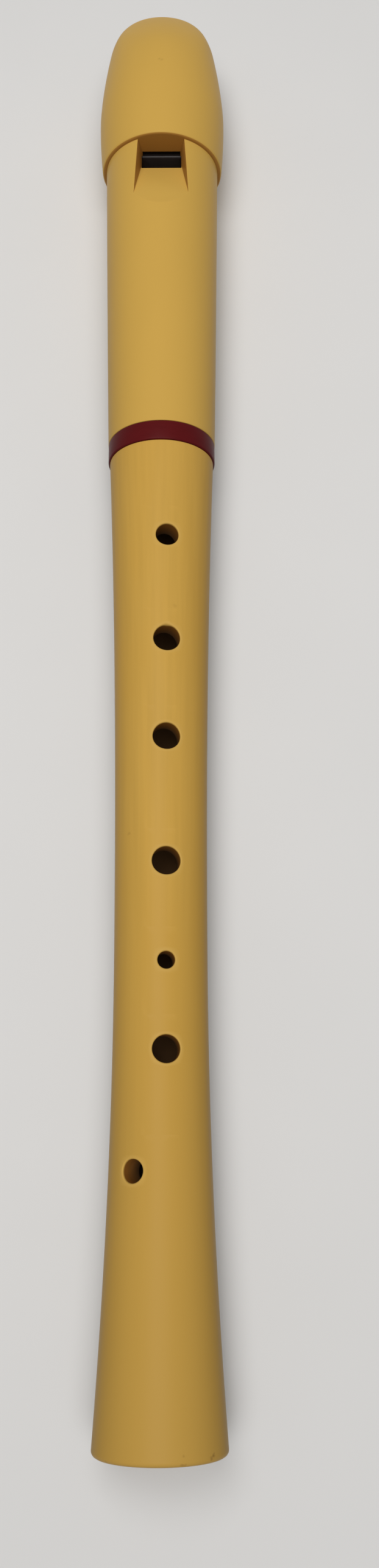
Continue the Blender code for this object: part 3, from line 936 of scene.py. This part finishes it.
def node(tree, kind, inputs=(), **settings):
    """New shader node. Each input gets a value, or the socket that feeds it."""
    made = tree.nodes.new(kind)
    for name, value in settings.items():
        setattr(made, name, value)
    for name, value in dict(inputs).items():
        feed(tree, made.inputs[name], value)
    return made


def new_material(name, **shader_inputs):
    """Material with a Principled shader, and that shader's node tree."""
    material = bpy.data.materials.new(name)
    material.use_nodes = True
    shader = material.node_tree.nodes["Principled BSDF"]
    for key, value in shader_inputs.items():
        shader.inputs[key.replace("_", " ")].default_value = value
    return material, material.node_tree, shader


def finish_shader(tree, shader, colour, roughness, relief, height):
    """Give a shader its colour, its roughness and a fine relief of a height."""
    bumps = node(tree, "ShaderNodeBump", {"Height": relief, "Distance": height, "Strength": 1.0})
    feed(tree, shader.inputs["Base Color"], colour)
    feed(tree, shader.inputs["Roughness"], roughness)
    feed(tree, shader.inputs["Normal"], bumps.outputs["Normal"])


def coordinates(tree):
    """Places on a piece, which are those of the frame at rest."""
    return node(tree, "ShaderNodeTexCoord").outputs["Object"]


def noise(tree, scale, along=1.0, detail=3.0):
    """Fractal noise from 0 to 1, its scale along the bore multiplied by a share."""
    stretched = node(tree, "ShaderNodeMapping", {"Vector": coordinates(tree), "Scale": (1.0, along, 1.0)})
    return node(tree, "ShaderNodeTexNoise", {
        "Vector": stretched.outputs["Vector"], "Scale": scale, "Detail": detail}).outputs["Fac"]


def between(tree, factor, low, high):
    """Value from low to high as a factor goes from 0 to 1."""
    ranged = node(tree, "ShaderNodeMapRange", {"Value": factor, "To Min": low, "To Max": high})
    return ranged.outputs["Result"]


def progress(tree, points, low, high):
    """Value that goes from 0 to 1 between two stations, at given points."""
    along = node(tree, "ShaderNodeSeparateXYZ", {"Vector": points}).outputs["Y"]
    return node(tree, "ShaderNodeMapRange", {
        "Value": along, "From Min": FOOT_Y + low, "From Max": FOOT_Y + high}).outputs["Result"]


def maths(tree, operation, *values):
    """Result of an operation on values or sockets."""
    return node(tree, "ShaderNodeMath", dict(enumerate(values)), operation=operation).outputs[0]


def marked(tree, name):
    """1 where the mesh carries a mark, and 0 elsewhere."""
    return node(tree, "ShaderNodeAttribute", attribute_name=name).outputs["Fac"]


def mixed(tree, factor, first, second):
    """Colour between two others. The node's colour sockets are given by number, as their names repeat."""
    return node(tree, "ShaderNodeMix", {0: factor, 6: first, 7: second}, data_type="RGBA").outputs[2]


def shade(colour, share=1.0):
    """A colour made lighter or darker, with its alpha."""
    return (*(c * share for c in colour), 1.0)


def varied(tree, factor, colour, darkest, lightest):
    """A colour whose shade goes from the darkest to the lightest share as a factor goes from 0 to 1."""
    return mixed(tree, factor, shade(colour, darkest), shade(colour, lightest))


def spot(tree, station, angle, radius, size):
    """1 at a place on the surface, fading to 0 at an uneven distance of about size."""
    centre = tuple(around(station, radius, angle))
    distance = node(tree, "ShaderNodeVectorMath", {0: coordinates(tree), 1: centre},
                    operation="DISTANCE").outputs["Value"]
    ragged = between(tree, noise(tree, RAGGED_SCALE, detail=1.0), -size / 2, size / 2)
    return node(tree, "ShaderNodeMapRange", {
        "Value": maths(tree, "ADD", distance, ragged),
        "From Min": 0.0, "From Max": size, "To Min": 1.0, "To Max": 0.0},
        interpolation_type="SMOOTHSTEP").outputs["Result"]


def plastic_material():
    """Satin ochre plastic of the head: even, with a trace of flow marks and fine orange peel.

    The walls of the window and of the ramp, and the cap's lower face, are browner as painted shade.
    """
    material, tree, shader = new_material("ochre_plastic_satin", Specular_IOR_Level=SHEEN)
    colour = varied(tree, noise(tree, FLOW_SCALE, 0.35), GOLD, 0.97, 1.03)
    dot = spot(tree, DOT_STATION, 0.0, float(beak_top(DOT_STATION)), DOT_SIZE)
    colour = mixed(tree, between(tree, dot, 0.0, DOT_STRENGTH), colour, shade(GOLD, DOT_SHADE))
    # Painted shade on the cap's lower face and the window's walls
    along = node(tree, "ShaderNodeSeparateXYZ", {"Vector": coordinates(tree)}).outputs["Y"]
    lower_face = maths(tree, "COMPARE", along, FOOT_Y + CAP_LOW, CUT_EDGE)
    window_shade = maths(tree, "MAXIMUM", lower_face, marked(tree, "inside_painted_shade"))
    colour = mixed(tree, window_shade, colour, shade(WINDOW_SHADE_BROWN))
    roughness = between(tree, noise(tree, GLOSS_SCALE), *SATIN)
    finish_shader(tree, shader, colour, roughness, noise(tree, PEEL_SCALE, detail=2.0), PEEL_HEIGHT)
    return material


def wood_material():
    """Lacquered body: faint lengthwise grain under a satin coat, and painted shade towards the foot.

    The holes' rims are lighter, from wear and as a painted highlight. The wood in the holes and in the bore
    is unlacquered and painted darker as painted shade, darkest in the bore.
    """
    material, tree, shader = new_material("lacquered_maple_satin", Specular_IOR_Level=SHEEN)
    grain = noise(tree, GRAIN_SCALE, 0.03, detail=5.0)
    cloud = noise(tree, CLOUD_SCALE, 0.3)
    colour = varied(tree, between(tree, grain, -0.4, 1.4), BODY_GOLD, 0.94, 1.06)
    colour = mixed(tree, between(tree, cloud, -0.5, 1.5), colour, shade(WARM_GOLD))
    # Painted shade: the body darkens towards the foot
    above_foot = progress(tree, coordinates(tree), 0.0, FOOT_PAINTED_SHADE_LENGTH)
    colour = mixed(tree, above_foot, shade(BODY_GOLD, FOOT_PAINTED_SHADE), colour)
    for station, angle, size, strength in STAINS:
        stain = spot(tree, station, math.radians(angle), float(body_radius(station)), size)
        colour = mixed(tree, between(tree, stain, 0.0, strength), colour, shade(STAIN_BROWN))
    # Lighter hole rims: rubbed lacquer and a painted highlight
    colour = mixed(tree, marked(tree, "worn_and_highlight"), colour, shade(WORN_AND_HIGHLIGHT_GOLD))
    # Holes and bore: unlacquered wood, darkened as painted shade, darkest in the bore
    hole_wall = varied(tree, grain, HOLE_WALL_SHADE_BROWN, 0.8, 1.2)
    bare_and_shaded = mixed(tree, marked(tree, "bore"), hole_wall, shade(BORE_SHADE_BROWN))
    inside_painted_shade = marked(tree, "inside_painted_shade")
    roughness = between(tree, inside_painted_shade, between(tree, grain, *SATIN), BARE_WOOD_ROUGHNESS)
    finish_shader(tree, shader, mixed(tree, inside_painted_shade, colour, bare_and_shaded), roughness, grain, GRAIN_HEIGHT)
    return material


def ring_material():
    """Satin maroon plastic with a few rubbed streaks round the ring."""
    material, tree, shader = new_material("maroon_plastic_satin", Specular_IOR_Level=SHEEN)
    rubbed = noise(tree, STREAK_SCALE, 4.0)
    colour = varied(tree, rubbed, MAROON, 0.90, 1.12)
    roughness = between(tree, rubbed, *RUBBED_SATIN)
    finish_shader(tree, shader, colour, roughness, noise(tree, RING_PEEL_SCALE, detail=2.0), PEEL_HEIGHT)
    return material


def cork_material():
    """Natural cork: pale cells with dark specks."""
    material, tree, shader = new_material("natural_cork")
    specks = between(tree, noise(tree, SPECK_SCALE, detail=6.0), -1.2, 1.9)
    colour = varied(tree, specks, CORK_BROWN, 0.45, 1.15)
    cells = node(tree, "ShaderNodeTexVoronoi", {"Vector": coordinates(tree), "Scale": CELL_SCALE})
    finish_shader(tree, shader, colour, CORK_ROUGHNESS, cells.outputs["Distance"], CELL_HEIGHT)
    return material


def block_material():
    """Dull dark plastic of the block."""
    material, tree, shader = new_material("block_plastic_dull")
    grain = noise(tree, BLOCK_GRAIN_SCALE)
    colour = varied(tree, grain, BLOCK_BLACK, 0.8, 1.3)
    finish_shader(tree, shader, colour, between(tree, grain, *DULL), grain, BLOCK_GRAIN_HEIGHT)
    return material


def seen_ray(tree):
    """1 for the camera's own rays and for mirrored or transmitted ones, 0 for rays that carry light."""
    path = node(tree, "ShaderNodeLightPath").outputs
    seen = maths(tree, "MAXIMUM", path["Is Camera Ray"], path["Is Glossy Ray"])
    return maths(tree, "MAXIMUM", seen, path["Is Transmission Ray"])


def floor_material():
    """Plain pale floor that throws little light back at the body, and more at head and cap."""
    material, tree, shader = new_material("pale_floor", Roughness=FLOOR_ROUGHNESS)
    tone = varied(tree, noise(tree, FLOOR_CLOUD_SCALE), FLOOR_TONE, 0.98, 1.02)
    position = node(tree, "ShaderNodeNewGeometry").outputs["Position"]
    under_cap = progress(tree, position, HEAD_LOW, CAP_WIDEST)
    bounce = varied(tree, under_cap, FLOOR_TONE, FLOOR_BOUNCE, CAP_BOUNCE)
    feed(tree, shader.inputs["Base Color"], mixed(tree, seen_ray(tree), bounce, tone))
    return material


# Stage

def build_floor():
    """Floor under the cap and the foot. The foot is the slimmer, so the floor rises a little towards it."""
    bpy.ops.mesh.primitive_plane_add(size=FLOOR_SIZE)
    floor = bpy.context.object
    floor.name = "floor"
    floor.rotation_euler = (-math.atan(FOOT_LIFT / UNDER_START), 0.0, 0.0)
    floor.location = (0.0, FOOT_Y + UNDER_START, 0.0)
    floor.data.materials.append(floor_material())


def add_lamp(name, kind, location, energy, **settings):
    """Lamp at a location, shining towards the origin."""
    data = bpy.data.lights.new(name, kind)
    data.energy = energy
    for key, value in settings.items():
        setattr(data, key, value)
    lamp = bpy.data.objects.new(name, data)
    lamp.location = location
    lamp.rotation_euler = Vector(location).to_track_quat("Z", "Y").to_euler()
    bpy.context.scene.collection.objects.link(lamp)


def light_studio():
    """Even light from high up, and a softbox over the head.

    A surface that faces the lamp is lit at a level of 1 by a sun of energy pi, or by an area lamp of
    energy pi squared a metre away.
    """
    add_lamp("sky_panel", "SUN", SKY_FROM, math.pi * SKY_LEVEL, angle=SKY_SPREAD)
    distance = Vector(SOFTBOX_AT).length
    add_lamp("softbox", "AREA", SOFTBOX_AT, (math.pi * distance) ** 2 * SOFTBOX_LEVEL, size=SOFTBOX_SIZE)


def build_world():
    """Even pale surroundings that light the recorder less than they show."""
    world = bpy.data.worlds.new("studio")
    world.use_nodes = True
    tree = world.node_tree
    background = tree.nodes["Background"]
    background.inputs["Color"].default_value = (1.0, 1.0, 1.0, 1.0)
    tree.links.new(between(tree, seen_ray(tree), WORLD_LIGHT, WORLD_SHOWN), background.inputs["Strength"])
    bpy.context.scene.world = world


def build_camera():
    """Camera at the photograph's place and angle."""
    data = bpy.data.cameras.new("camera")
    data.sensor_width = SENSOR_MILLIMETRES
    data.lens = SENSOR_MILLIMETRES * FOCAL_PIXELS / IMAGE_HEIGHT
    data.clip_start = NEAR_CLIP
    camera = bpy.data.objects.new("camera", data)
    camera.location = (CAMERA_SIDE, FOOT_Y + CAMERA_STATION, AXIS_Z + CAMERA_ABOVE_AXIS)
    camera.rotation_euler = (CAMERA_PITCH, CAMERA_ROLL, CAMERA_YAW)
    bpy.context.scene.collection.objects.link(camera)
    bpy.context.scene.camera = camera


# What makes each piece and its material, the body it rides on, the node it replaces, and its slot
PIECES = [
    (build_body, wood_material, "body", "lower_body", "body_wood"),
    (build_cork, cork_material, "body", "tenon_cork", "cork"),
    (build_ring, ring_material, "ring", "colour_ring", "ring_plastic"),
    (build_head, plastic_material, "head", "head_tube", "head_plastic"),
    (build_cap, plastic_material, "head", "beak_cap", "head_plastic"),
    (build_block, block_material, "head", "block", "block_plastic"),
]
for build, material, body, cad_node, slot in PIECES:
    piece = build()
    piece.data.materials.clear()
    piece.data.materials.append(material())
    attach(piece, body)
    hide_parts(cad_node)

build_floor()
build_world()
build_camera()
light_studio()
bpy.context.scene.view_settings.view_transform = "Standard"
